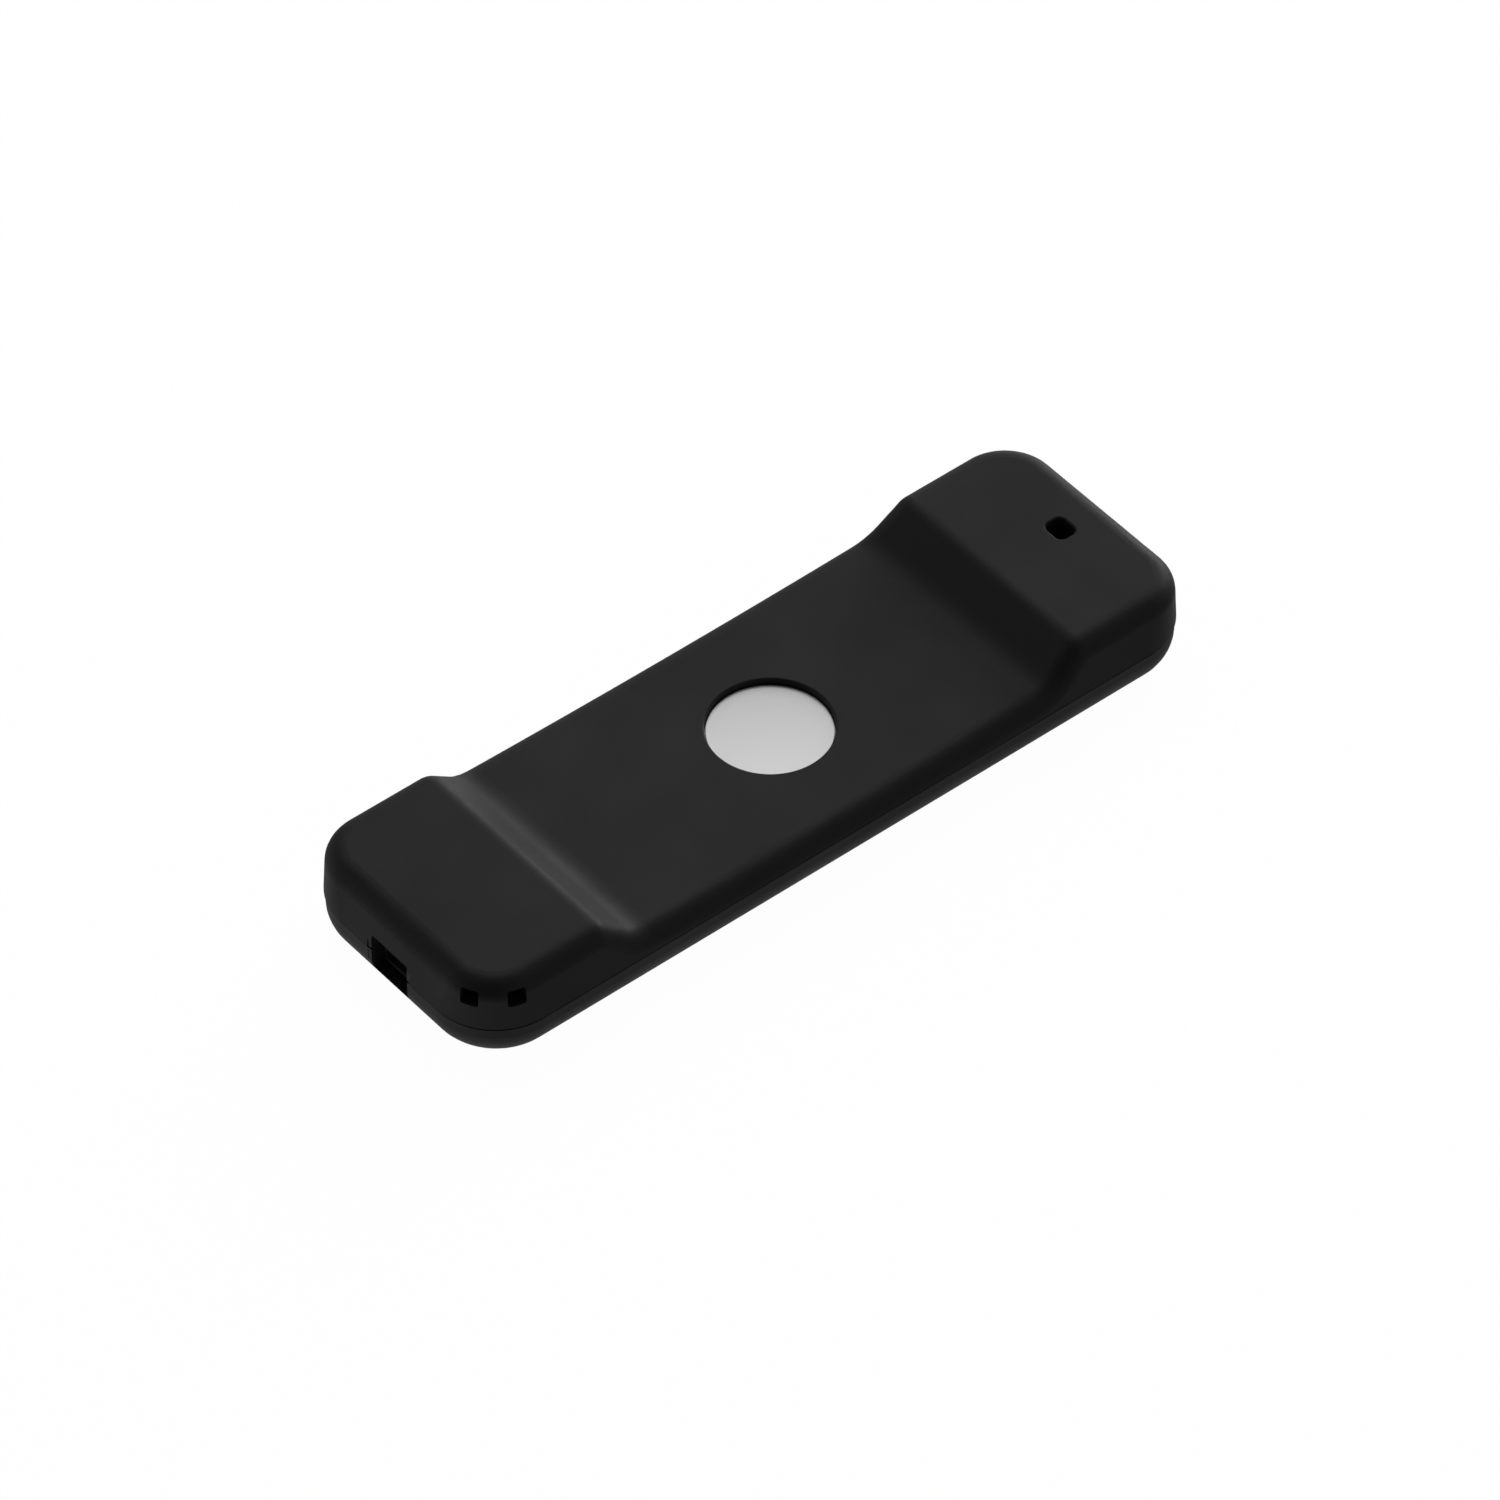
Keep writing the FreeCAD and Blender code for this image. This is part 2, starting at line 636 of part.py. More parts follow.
keep(volume_rocker())
keep(pin_along_y("rocker_pin", "dims.pin_radius", "dims.pin_length"))


# ---------- handset shells ----------


def front_cover():
    """Lower shell: a shallow dish with a web that guides the keys and a recess for the gloss plate."""
    shell = new_body("front_shell")
    outline = new_sketch(shell, offset="dims.front_height")
    size = ("dims.handset_length", "dims.handset_width", "dims.handset_corner")
    rounded_rectangle(outline, "0", "0", *size)
    pad(shell, outline, "dims.split_height - dims.front_height")
    round_edges(shell, "dims.front_edge_round", level("dims.front_height"))
    inside = new_sketch(shell, offset="dims.split_height")
    shell_inside(inside)
    pocket(shell, inside, "dims.split_height - dims.web_top")
    recess = new_sketch(shell, offset="dims.front_height + dims.plate_thickness")
    length, width = "dims.plate_length + 2 * dims.fit_gap", "dims.plate_width + 2 * dims.fit_gap"
    rounded_rectangle(recess, "0", "0", length, width, "dims.plate_corner + dims.fit_gap")
    pocket(shell, recess, "dims.plate_thickness")
    posts = [
        disc(f"post_{i}", x, y, "dims.web_top", "dims.boss_radius", "dims.split_height - dims.web_top")
        for i, (x, y) in enumerate(BOSS_POINTS)
    ]
    ear_reach = "dims.rocker_width / 2 + 0.9"
    ears = [
        block(f"pin_ear_{side}", ROCKER_X, f"{ROCKER_Y} + {side} * ({ear_reach})", "dims.web_top",
              2, 1, "dims.board_low - dims.spacer_thickness - 0.1 - dims.web_top")
        for side in (-1, 1)
    ]
    low = "dims.front_height + dims.plate_thickness"
    tools = key_holes("web", low, "dims.web_top")
    for i, (x, y) in enumerate(BOSS_POINTS):
        tools.append(disc(f"head_seat_{i}", x, y, low, "dims.head_radius + 0.05", "dims.head_height"))
        tools.append(disc(f"screw_way_{i}", x, y, low, "dims.screw_radius + 0.1", "2.5"))
    tools.append(pin_along_y("ear_bore", "dims.pin_radius + 0.01", "dims.pin_length"))
    tools.append(block("front_port_notch", "-dims.handset_length / 2", 0, "dims.web_top",
                       4, "dims.socket_width + 0.4", 2))
    return cut("front_cover", join("front_solid", [shell, *posts, *ears]), tools)


def shell_inside(sketch):
    length = "dims.handset_length - 2 * dims.wall"
    width = "dims.handset_width - 2 * dims.wall"
    rounded_rectangle(sketch, "0", "0", length, width, "dims.handset_corner - dims.wall")


def front_plate():
    """The gloss plate round the keys."""
    plate = new_body("plate_blank")
    outline = new_sketch(plate, offset="dims.front_height")
    rounded_rectangle(outline, "0", "0", "dims.plate_length", "dims.plate_width", "dims.plate_corner")
    pad(plate, outline, "dims.plate_thickness")
    tools = key_holes("plate", "dims.front_height - 0.5", "dims.front_height + dims.plate_thickness + 0.5")
    return cut("front_plate", plate, tools)


def back_cover():
    """Upper shell: a thin metal tray with screw bosses, the part that the sleeve's window shows."""
    tray = new_body("back_tray")
    outline = new_sketch(tray, offset="dims.split_height")
    size = ("dims.handset_length", "dims.handset_width", "dims.handset_corner")
    rounded_rectangle(outline, "0", "0", *size)
    pad(tray, outline, "dims.back_height - dims.split_height")
    round_edges(tray, "dims.back_edge_round", level("dims.back_height"))
    inside = new_sketch(tray, offset="dims.split_height")
    shell_inside(inside)
    pocket(tray, inside, "dims.back_height - dims.skin - dims.split_height", along_normal=True)
    bosses = [
        disc(f"boss_{i}", x, y, "dims.split_height + 0.1", "dims.boss_radius",
             "dims.back_height - dims.skin - dims.split_height")
        for i, (x, y) in enumerate(BOSS_POINTS)
    ]
    tools = [
        disc(f"boss_bore_{i}", x, y, "dims.split_height", "dims.screw_radius + 0.02",
             "dims.back_height - dims.skin - dims.split_height")
        for i, (x, y) in enumerate(BOSS_POINTS)
    ]
    tools.append(disc("rear_microphone_hole", "dims.microphone_x", 0, "dims.split_height", "0.6", 5))
    tools.append(block("back_port_notch", "-dims.handset_length / 2", 0, "dims.split_height - 1",
                       4, "dims.socket_width + 0.4", "dims.socket_mid + dims.socket_height / 2 + 1.2"
                       " - dims.split_height"))
    tools.append(block("ir_notch", "dims.handset_length / 2", 0, "dims.split_height - 1", 4, 10, 3.3))
    return cut("back_cover", join("back_solid", [tray, *bosses]), tools)


keep(front_cover())
keep(front_plate())
keep(back_cover())


def rear_badge():
    """A plain, slightly domed metal disc glued to the tray, inside the sleeve's window."""
    blank = disc("badge_blank", "dims.window_offset", 0, "dims.back_height", "dims.badge_radius",
                 "dims.badge_height")
    dome = doc.addObject("Part::Sphere", "badge_dome_ball")
    dome.setExpression("Radius", "dims.badge_dome")
    place(dome, "dims.window_offset", 0, "dims.back_height + dims.badge_height - dims.badge_dome")
    return common("rear_badge", [blank, dome])


keep(rear_badge())


def internal_frame():
    """A thin frame inside both shells that carries the boards and walls in the battery."""
    low, high = "dims.web_top + 0.1", "dims.back_height - dims.skin - 0.1"
    ring = new_body("frame_ring")
    gap = "(2 * dims.wall + 0.3)"
    outline = new_sketch(ring, offset=low)
    length, width = f"dims.handset_length - {gap}", f"dims.handset_width - {gap}"
    rounded_rectangle(outline, "0", "0", length, width, "dims.handset_corner - dims.wall - 0.15")
    pad(ring, outline, f"{high} - ({low})")
    inside = new_sketch(ring, offset=low)
    length, width = f"dims.handset_length - {gap} - 2", f"dims.handset_width - {gap} - 2"
    rounded_rectangle(inside, "0", "0", length, width, "dims.handset_corner - dims.wall - 1.15")
    pocket(ring, inside, f"{high} - ({low}) + 1", along_normal=True)
    half_gap = "(dims.battery_length / 2 + 1)"
    bars = [
        block(f"battery_bar_{side}", f"dims.battery_x + {side} * {half_gap}", 0, low,
              1, "dims.handset_width - 2 * dims.wall - 1", "dims.board_high - 0.1 - dims.web_top - 0.1")
        for side in (-1, 1)
    ]
    end = "dims.handset_length / 2 - dims.wall"
    tools = [
        block("frame_port_notch", f"-({end})", 0, "dims.web_top", 4, "dims.socket_width + 0.4", 5),
        block("frame_ir_notch", end, 0, "dims.board_low", 4, 10, 5),
    ]
    return cut("internal_frame", join("frame_solid", [ring, *bars]), tools)


keep(internal_frame())


# ---------- boards and what is on them ----------


def plate_with_holes(label, x, y, low, length, width, thickness, corner, tools):
    blank = new_body(label + "_blank")
    outline = new_sketch(blank, offset=low)
    rounded_rectangle(outline, x, y, length, width, corner)
    pad(blank, outline, thickness)
    return cut(label, blank, tools)


def boss_holes(label, points):
    return [
        disc(f"{label}_hole_{i}", x, y, "dims.board_low - 1", "dims.boss_radius + 0.15", 3)
        for i, (x, y) in enumerate(points)
    ]


THICKNESS = "dims.board_high - dims.board_low"
MAIN_X = "(dims.board_start + dims.board_end) / 2"
MAIN_LENGTH = "dims.board_end - dims.board_start"
keep(plate_with_holes("main_board", MAIN_X, "0", "dims.board_low", MAIN_LENGTH, "dims.board_width",
                      THICKNESS, "5", boss_holes("main", BOSS_POINTS[:4])))

SOCKET_FRONT = "-dims.handset_length / 2 + dims.socket_setback"
SOCKET_BOARD_LENGTH = "dims.board_end - 52.6"
socket_notch = block("socket_notch", f"{SOCKET_FRONT} + dims.socket_length / 2", 0, "dims.board_low - 1",
                     "dims.socket_length + 0.3", "dims.socket_width + 0.3", 3)
keep(plate_with_holes("socket_board", "-(dims.board_end + 52.6) / 2", "0", "dims.board_low",
                      SOCKET_BOARD_LENGTH, "30", THICKNESS, "3.2",
                      [socket_notch, *boss_holes("socket", BOSS_POINTS[4:])]))
keep(block("board_link_flex", -34.75, 14.6, "dims.board_high", 39.7, 1.4, 0.15))


def dome_points():
    """Where each key's nub presses: the middle of each key, and near both ends of the rocker."""
    points = list(ROUND_KEYS.values()) + [("dims.ring_x", "0")]
    for turn in RING_KEYS.values():
        cosine, sine = round(math.cos(math.radians(turn))), round(math.sin(math.radians(turn)))
        points.append((f"dims.ring_x + {RING_MIDDLE} * ({cosine})", f"{RING_MIDDLE} * ({sine})"))
    for side in (-1, 1):
        points.append((f"{ROCKER_X} + {side} * dims.rocker_nub_reach", ROCKER_Y))
    return points


def metal_domes():
    domes = []
    for index, (x, y) in enumerate(dome_points()):
        dome = doc.addObject("Part::Cone", f"dome_{index}")
        dome.setExpression("Radius1", "dims.dome_crown")
        dome.setExpression("Radius2", "dims.dome_radius")
        dome.setExpression("Height", "dims.board_low - dims.dome_low")
        domes.append(place(dome, x, y, "dims.dome_low"))
    return join("metal_domes", domes)


def dome_spacer_sheet():
    low = "dims.board_low - dims.spacer_thickness"
    tools = [
        disc(f"spacer_hole_{i}", x, y, f"{low} - 1", "dims.dome_radius + 0.15", 3)
        for i, (x, y) in enumerate(dome_points())
    ]
    tools.append(block("spacer_notch", "dims.top_row + 2.5", 0, f"{low} - 1", 9, 3.4, 3))
    return plate_with_holes("dome_spacer_sheet", "22", "0", low, "70", "24", "dims.spacer_thickness",
                            "3", tools)


keep(metal_domes())
keep(dome_spacer_sheet())


def rounded_block(label, x, y, low, length, width, height, corner="0.4"):
    """A moulded part: a block with rounded upright corners and a softened top edge."""
    body = new_body(label)
    sketch = new_sketch(body, offset=low)
    rounded_rectangle(sketch, str(x), str(y), str(length), str(width), corner)
    pad(body, sketch, height)
    round_edges(body, "0.15", level(f"{low} + {height}"))
    return body


keep(rounded_block("main_chip", 3, -2, "dims.board_high", 7, 7, "0.9"))
keep(rounded_block("radio_module", 22, 3, "dims.board_high", 8, 6, "0.7"))
can = block("can_shell", 22, 3, "dims.board_high", 13, 10, 1.2)
can_hollow = block("can_hollow", 22, 3, "dims.board_high - 0.1", 12.6, 9.6, 1.1)
keep(cut("radio_shield_can", can, [can_hollow]))
keep(rounded_block("antenna_block", 44, 13.6, "dims.board_high", 5, 2, "1.0", "0.2"))
keep(rounded_block("motion_sensor", 12, -11, "dims.board_high", 3, 3, "0.9", "0.2"))
keep(rounded_block("clock_crystal", 3, 6, "dims.board_high", 3.2, 2.5, "0.7"))


def board_capacitors():
    """Two rows of small capacitors beside the chip and one row beside the shielded module."""
    rows = [(-1.2 + 1.4 * step, -8, 0.5, 1.0) for step in range(7)]
    rows += [(9 + 1.4 * step, 9.4, 0.5, 1.0) for step in range(6)]
    rows += [(31, -3 + 1.4 * step, 1.0, 0.5) for step in range(8)]
    pieces = [
        block(f"capacitor_{i}", x, y, "dims.board_high", length, width, 0.5)
        for i, (x, y, length, width) in enumerate(rows)
    ]
    return join("board_capacitors", pieces)


keep(board_capacitors())
keep(rounded_block("voice_microphone", "dims.top_row", "0", "dims.board_low - 0.9", 3, 2.2, "0.9"))
gasket_low = "dims.web_top + 0.01"
gasket = disc("voice_gasket_ring", "dims.top_row", 0, gasket_low, 1.05, 0.28)
keep(cut("voice_microphone_gasket", gasket, [disc("voice_gasket_bore", "dims.top_row", 0, gasket_low, 0.5, 1)]))
keep(rounded_block("rear_microphone", "dims.microphone_x", "0", "dims.board_high", 3, 2.2, "1.0"))
gasket = disc("rear_gasket_ring", "dims.microphone_x", 0, "dims.board_high + 1", 1.05, 0.5)
rear_bore = disc("rear_gasket_bore", "dims.microphone_x", 0, "dims.board_high + 1", 0.6, 1)
keep(cut("rear_microphone_gasket", gasket, [rear_bore]))
keep(rounded_block("status_led", "dims.top_row + 4.5", "0", "dims.board_low - 0.5", 1.6, 0.8, "0.5", "0.15"))
pipe_stem = disc("pipe_stem", "dims.top_row + 4.5", 0, "dims.front_height + 0.05", 0.55, 2.3)
pipe_head = disc("pipe_head", "dims.top_row + 4.5", 0, "dims.web_top + 0.02", 0.9, 0.5)
keep(join("status_light_pipe", [pipe_stem, pipe_head]))


def ir_emitters():
    """Two side-facing infrared diodes: a block and a round lens each."""
    pieces = []
    for side in (-1, 1):
        y = 2.8 * side
        pieces.append(block(f"emitter_block_{side}", 58, y, "dims.board_high", 1.2, 2.4, 1.2))
        lens = disc(f"emitter_lens_{side}", 58.5, y, "dims.board_high + 0.6", 0.5, 0.9)
        lens.Placement.Rotation = FreeCAD.Rotation(VEC(0, 1, 0), 90)
        pieces.append(lens)
    return join("ir_emitters", pieces)


keep(ir_emitters())
window_middle = "dims.handset_length / 2 - 0.6"
keep(rounded_block("ir_window", window_middle, "0", "dims.split_height + 0.05", 1.1, 9.9, "2.2", "0.3"))


# ---------- battery and charging socket ----------


def battery_cell():
    body = new_body("battery_cell")
    sketch = new_sketch(body, offset="dims.battery_low")
    rounded_rectangle(sketch, "dims.battery_x", "0", "dims.battery_length", "dims.battery_width", "1.5")
    pad(body, sketch, "dims.battery_high - dims.battery_low")
    for height in ("dims.battery_low", "dims.battery_high"):
        round_edges(body, "0.8", level(height))
    return body


keep(battery_cell())
BATTERY_END = "dims.battery_x + dims.battery_length / 2"
CONNECTOR_X = "dims.board_start + 3.6"
flex_length = f"{CONNECTOR_X} - 1.6 - ({BATTERY_END})"
flex_middle = f"({CONNECTOR_X} - 1.6 + {BATTERY_END}) / 2"
keep(block("battery_flex", flex_middle, 0, "dims.board_high + 0.2", flex_length, 3, 0.2))
keep(rounded_block("battery_connector", CONNECTOR_X, "0", "dims.board_high", 3.2, 4.4, "0.9", "0.3"))


def socket_profile(label, length, width, height, start, corner):
    """A rounded bar along X that starts at start, centred on the socket's axis."""
    body = new_body(label)
    sketch = new_sketch(body, "YZ_Plane", start)
    rounded_rectangle(sketch, "0", "dims.socket_mid", width, height, corner)
    pad(body, sketch, length)
    return body


socket_shell = socket_profile("socket_shell", "dims.socket_length", "dims.socket_width",
                              "dims.socket_height", SOCKET_FRONT, "0.9")
socket_mouth = socket_profile("socket_mouth", "dims.socket_depth + 1", "dims.socket_mouth_width",
                              "dims.socket_mouth_height", f"{SOCKET_FRONT} - 1", "0.6")
keep(cut("charging_socket", socket_shell, [socket_mouth]))


def socket_bezel():
    """A thin plate that closes the handset's end round the mouth of the socket."""
    plate = new_body("bezel_plate")
    outline = new_sketch(plate, "YZ_Plane", "-dims.handset_length / 2")
    middle = "(dims.bezel_low + dims.bezel_high) / 2"
    rounded_rectangle(outline, "0", middle, "dims.bezel_width", "dims.bezel_high - dims.bezel_low", "0.4")
    pad(plate, outline, "dims.socket_setback - 0.05")
    mouth = socket_profile("bezel_mouth", "2", "dims.socket_mouth_width", "dims.socket_mouth_height",
                           "-dims.handset_length / 2 - 1", "0.6")
    return cut("socket_bezel", plate, [mouth])


keep(socket_bezel())


def socket_contacts():
    """A row of gold contacts on the roof of the socket's mouth."""
    count = int(number("dims.contact_count"))
    pitch = 0.7
    roof = "dims.socket_mid + dims.socket_mouth_height / 2"
    pieces = [
        block(f"contact_{i}", f"{SOCKET_FRONT} + 3.6", pitch * (i - (count - 1) / 2), f"{roof} - 0.2",
              4, 0.4, 0.2)
        for i in range(count)
    ]
    return join("socket_contacts", pieces)


keep(socket_contacts())


def housing_screws():
    """Six small screws: heads in the front cover under the gloss plate, shanks in the tray's bosses."""
    low = "dims.front_height + dims.plate_thickness"
    pieces = []
    for index, (x, y) in enumerate(BOSS_POINTS):
        head = disc(f"screw_head_{index}", x, y, low, "dims.head_radius", "dims.head_height")
        shank = disc(f"screw_shank_{index}", x, y, low, "dims.screw_radius", 3.9)
        slot = block(f"screw_slot_{index}", x, y, low, 1.5, 0.3, 0.2)
        pieces.append(cut(f"screw_{index}", join(f"screw_solid_{index}", [head, shank]), [slot]))
    return join("housing_screws", pieces)


keep(housing_screws())


# ---------- check and write ----------

doc.recompute()
for item in doc.Objects:
    if "Invalid" in item.State or "Error" in item.State:
        raise ValueError(f"{item.Label} failed to compute: {item.State}")

os.makedirs("parts", exist_ok=True)
for node in nodes:
    if node.Shape.isNull() or not node.Shape.isValid() or not node.Shape.Solids:
        raise ValueError(f"{node.Label} has no valid solid")
    node.Shape.exportStep(f"parts/{node.Label}.step")
    box = node.Shape.BoundBox
    print(f"{node.Label:26s} solids {len(node.Shape.Solids)}  volume {node.Shape.Volume:9.2f}  "
          f"z {box.ZMin:6.2f} to {box.ZMax:6.2f}")
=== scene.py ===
import json
import math

import bmesh
import bpy
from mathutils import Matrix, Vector


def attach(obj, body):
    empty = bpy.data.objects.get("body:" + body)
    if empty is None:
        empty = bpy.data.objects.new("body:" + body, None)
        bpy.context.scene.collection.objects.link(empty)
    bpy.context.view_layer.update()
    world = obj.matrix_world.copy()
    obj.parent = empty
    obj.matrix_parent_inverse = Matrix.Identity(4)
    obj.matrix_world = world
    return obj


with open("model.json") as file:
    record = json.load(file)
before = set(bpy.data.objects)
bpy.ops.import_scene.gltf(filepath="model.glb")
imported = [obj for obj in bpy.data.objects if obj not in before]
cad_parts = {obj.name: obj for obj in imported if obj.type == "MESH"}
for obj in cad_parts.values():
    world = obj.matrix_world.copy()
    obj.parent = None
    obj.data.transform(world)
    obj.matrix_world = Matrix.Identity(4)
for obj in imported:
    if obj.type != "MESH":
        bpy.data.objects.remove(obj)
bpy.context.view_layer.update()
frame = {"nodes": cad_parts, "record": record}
NODES = frame["nodes"]
MM = 0.001

# ---------- camera, floor and light ----------

SENSOR_WIDTH = 36
LENS = 251.127
CAMERA_PLACE = (-0.6414, -0.77756, 1.04226)
CAMERA_TILT = 44.2237
CAMERA_HEADING = -39.4774
CAMERA_REACH = 20

scene = bpy.context.scene
camera_data = bpy.data.cameras.new("camera")
camera_data.sensor_width = SENSOR_WIDTH
camera_data.lens = LENS
camera_data.clip_end = CAMERA_REACH
camera = bpy.data.objects.new("camera", camera_data)
camera.location = CAMERA_PLACE
camera.rotation_euler = (math.radians(CAMERA_TILT), 0, math.radians(CAMERA_HEADING))
scene.collection.objects.link(camera)
scene.camera = camera
scene.view_settings.view_transform = "Standard"
scene.view_settings.look = "None"


def node_tree(owner):
    """The owner's node tree, emptied."""
    owner.use_nodes = True
    tree = owner.node_tree
    tree.nodes.clear()
    return tree


def add(tree, kind, **settings):
    """A new node. Each setting is a property of it or, failing that, the value of its input socket."""
    node = tree.nodes.new(kind)
    for word, value in settings.items():
        if hasattr(node, word):
            setattr(node, word, value)
        else:
            node.inputs[word].default_value = value
    return node


LIGHT_TARGET = (0, 0, 0.008)


def area_light(name, direction, distance, size, power):
    """A softbox that far from the object in that direction, facing it."""
    data = bpy.data.lights.new(name, "AREA")
    data.shape = "RECTANGLE"
    data.size, data.size_y = size
    data.energy = power
    light = bpy.data.objects.new(name, data)
    away = Vector(direction).normalized()
    light.location = Vector(LIGHT_TARGET) + away * distance
    light.rotation_euler = away.to_track_quat("Z", "Y").to_euler()
    scene.collection.objects.link(light)


area_light("overhead_softbox", (0.30, 0.40, 0.87), 1.6, (1.0, 0.8), 2.75)
area_light("side_softbox", (0.93, 0.30, 0.22), 1.5, (0.7, 0.4), 3.4)

# Studio dome: an even dim shell with soft bright patches. Each patch: where it is, the cosine from which
# it starts, the cosine at which it is full, and its strength.
DOME_BASE = 0.06
DOME_PATCHES = (
    ((0.84, 0.54, 0.05), 0.72, 1.0, 0.9),
    ((0.35, 0.45, 0.82), 0.55, 1.0, 0.22),
    ((-0.72, 0.54, 0.20), 0.60, 1.0, 0.22),
    ((-0.1, 0.05, -0.99), 0.10, 1.0, 0.54),
    ((-0.45, 0.89, 0.0), 0.70, 1.0, 0.22),
    ((0.44, -0.78, 0.35), 0.50, 1.0, 0.22),
)

world = bpy.data.worlds.new("studio")
scene.world = world
tree = node_tree(world)
sky = add(tree, "ShaderNodeTexCoord")
total = add(tree, "ShaderNodeValue")
total.outputs[0].default_value = DOME_BASE
level = total.outputs[0]
for heading, low, high, strength in DOME_PATCHES:
    toward = Vector(heading).normalized()
    facing = add(tree, "ShaderNodeVectorMath", operation="DOT_PRODUCT")
    facing.inputs[1].default_value = toward
    lobe = add(tree, "ShaderNodeMapRange", interpolation_type="SMOOTHSTEP")
    lobe.inputs["From Min"].default_value = low
    lobe.inputs["From Max"].default_value = high
    lobe.inputs["To Max"].default_value = strength
    plus = add(tree, "ShaderNodeMath", operation="ADD")
    tree.links.new(sky.outputs["Generated"], facing.inputs[0])
    tree.links.new(facing.outputs["Value"], lobe.inputs["Value"])
    tree.links.new(lobe.outputs["Result"], plus.inputs[0])
    tree.links.new(level, plus.inputs[1])
    level = plus.outputs[0]
glow = add(tree, "ShaderNodeBackground")
out = add(tree, "ShaderNodeOutputWorld")
tree.links.new(level, glow.inputs["Strength"])
tree.links.new(glow.outputs[0], out.inputs[0])

FLOOR_REACH = 6.0
FLOOR_DROP = 0.0001
FLOOR_TONE = 0.05
FLOOR_GLOW = 0.98
floor_mesh = bpy.data.meshes.new("floor")
floor_corners = [(x * FLOOR_REACH, y * FLOOR_REACH, 0) for x, y in ((-1, -1), (1, -1), (1, 1), (-1, 1))]
floor_mesh.from_pydata(floor_corners, [], [(0, 1, 2, 3)])
floor = bpy.data.objects.new("floor", floor_mesh)
floor.location.z = -FLOOR_DROP
scene.collection.objects.link(floor)
floor.visible_glossy = False
floor.visible_diffuse = False
floor.visible_shadow = False
paint = bpy.data.materials.new("floor_white")
tree = node_tree(paint)
shader = add(tree, "ShaderNodeBsdfPrincipled")
shader.inputs["Base Color"].default_value = (FLOOR_TONE, FLOOR_TONE, FLOOR_TONE, 1)
shader.inputs["Roughness"].default_value = 1.0
shader.inputs["Specular IOR Level"].default_value = 0.0
shader.inputs["Emission Color"].default_value = (1, 1, 1, 1)
shader.inputs["Emission Strength"].default_value = FLOOR_GLOW
# Clear from underneath, so that the key side can be looked at from below.
side = add(tree, "ShaderNodeNewGeometry")
clear = add(tree, "ShaderNodeBsdfTransparent")
either = add(tree, "ShaderNodeMixShader")
out = add(tree, "ShaderNodeOutputMaterial")
tree.links.new(side.outputs["Backfacing"], either.inputs[0])
tree.links.new(shader.outputs[0], either.inputs[1])
tree.links.new(clear.outputs[0], either.inputs[2])
tree.links.new(either.outputs[0], out.inputs[0])
floor_mesh.materials.append(paint)


# ---------- materials ----------

MIX_FIRST, MIX_SECOND, MIX_RESULT = 6, 7, 2
FINE_SHARE = 0.35
PATTERN_LOW, PATTERN_HIGH = 0.3, 0.7
RELIEF_STRENGTH = 0.5


def finish_material(
    name, low, high, rough, grain=3000, relief=0.02, cloud=60, metallic=0.0, sockets=None, streak=None
):
    """A moulded, cast or plated surface: broad colour clouds, a fine grain in roughness and a fine relief."""
    material = bpy.data.materials.new(name)
    tree = node_tree(material)
    shader = add(tree, "ShaderNodeBsdfPrincipled")
    shader.inputs["Metallic"].default_value = metallic
    for word, value in (sockets or {}).items():
        shader.inputs[word].default_value = value
    out = add(tree, "ShaderNodeOutputMaterial")
    place = add(tree, "ShaderNodeTexCoord")
    source = place.outputs["Object"]
    if streak:
        stretch = add(tree, "ShaderNodeMapping")
        stretch.inputs["Scale"].default_value = streak
        tree.links.new(source, stretch.inputs[0])
        source = stretch.outputs[0]
    clouds = add(tree, "ShaderNodeTexNoise", Scale=cloud, Detail=4.0)
    fine = add(tree, "ShaderNodeTexNoise", Scale=grain, Detail=3.0)
    tree.links.new(place.outputs["Object"], clouds.inputs["Vector"])
    tree.links.new(source, fine.inputs["Vector"])
    blend = add(tree, "ShaderNodeMix", data_type="RGBA")
    blend.inputs[MIX_FIRST].default_value = (*low, 1)
    blend.inputs[MIX_SECOND].default_value = (*high, 1)
    both = add(tree, "ShaderNodeMath", operation="MULTIPLY_ADD")
    both.inputs[1].default_value = FINE_SHARE
    tree.links.new(fine.outputs["Fac"], both.inputs[0])
    soft = add(tree, "ShaderNodeMath", operation="MULTIPLY")
    soft.inputs[1].default_value = 1 - FINE_SHARE
    tree.links.new(clouds.outputs["Fac"], soft.inputs[0])
    tree.links.new(soft.outputs[0], both.inputs[2])
    tree.links.new(both.outputs[0], blend.inputs[0])
    tree.links.new(blend.outputs[MIX_RESULT], shader.inputs["Base Color"])
    spread = add(tree, "ShaderNodeMapRange")
    spread.inputs["From Min"].default_value = PATTERN_LOW
    spread.inputs["From Max"].default_value = PATTERN_HIGH
    spread.inputs["To Min"].default_value = rough[0]
    spread.inputs["To Max"].default_value = rough[1]
    tree.links.new(both.outputs[0], spread.inputs["Value"])
    tree.links.new(spread.outputs[0], shader.inputs["Roughness"])
    bump = add(tree, "ShaderNodeBump", Strength=RELIEF_STRENGTH, Distance=relief * MM)
    tree.links.new(fine.outputs["Fac"], bump.inputs["Height"])
    tree.links.new(bump.outputs[0], shader.inputs["Normal"])
    tree.links.new(shader.outputs[0], out.inputs[0])
    return material


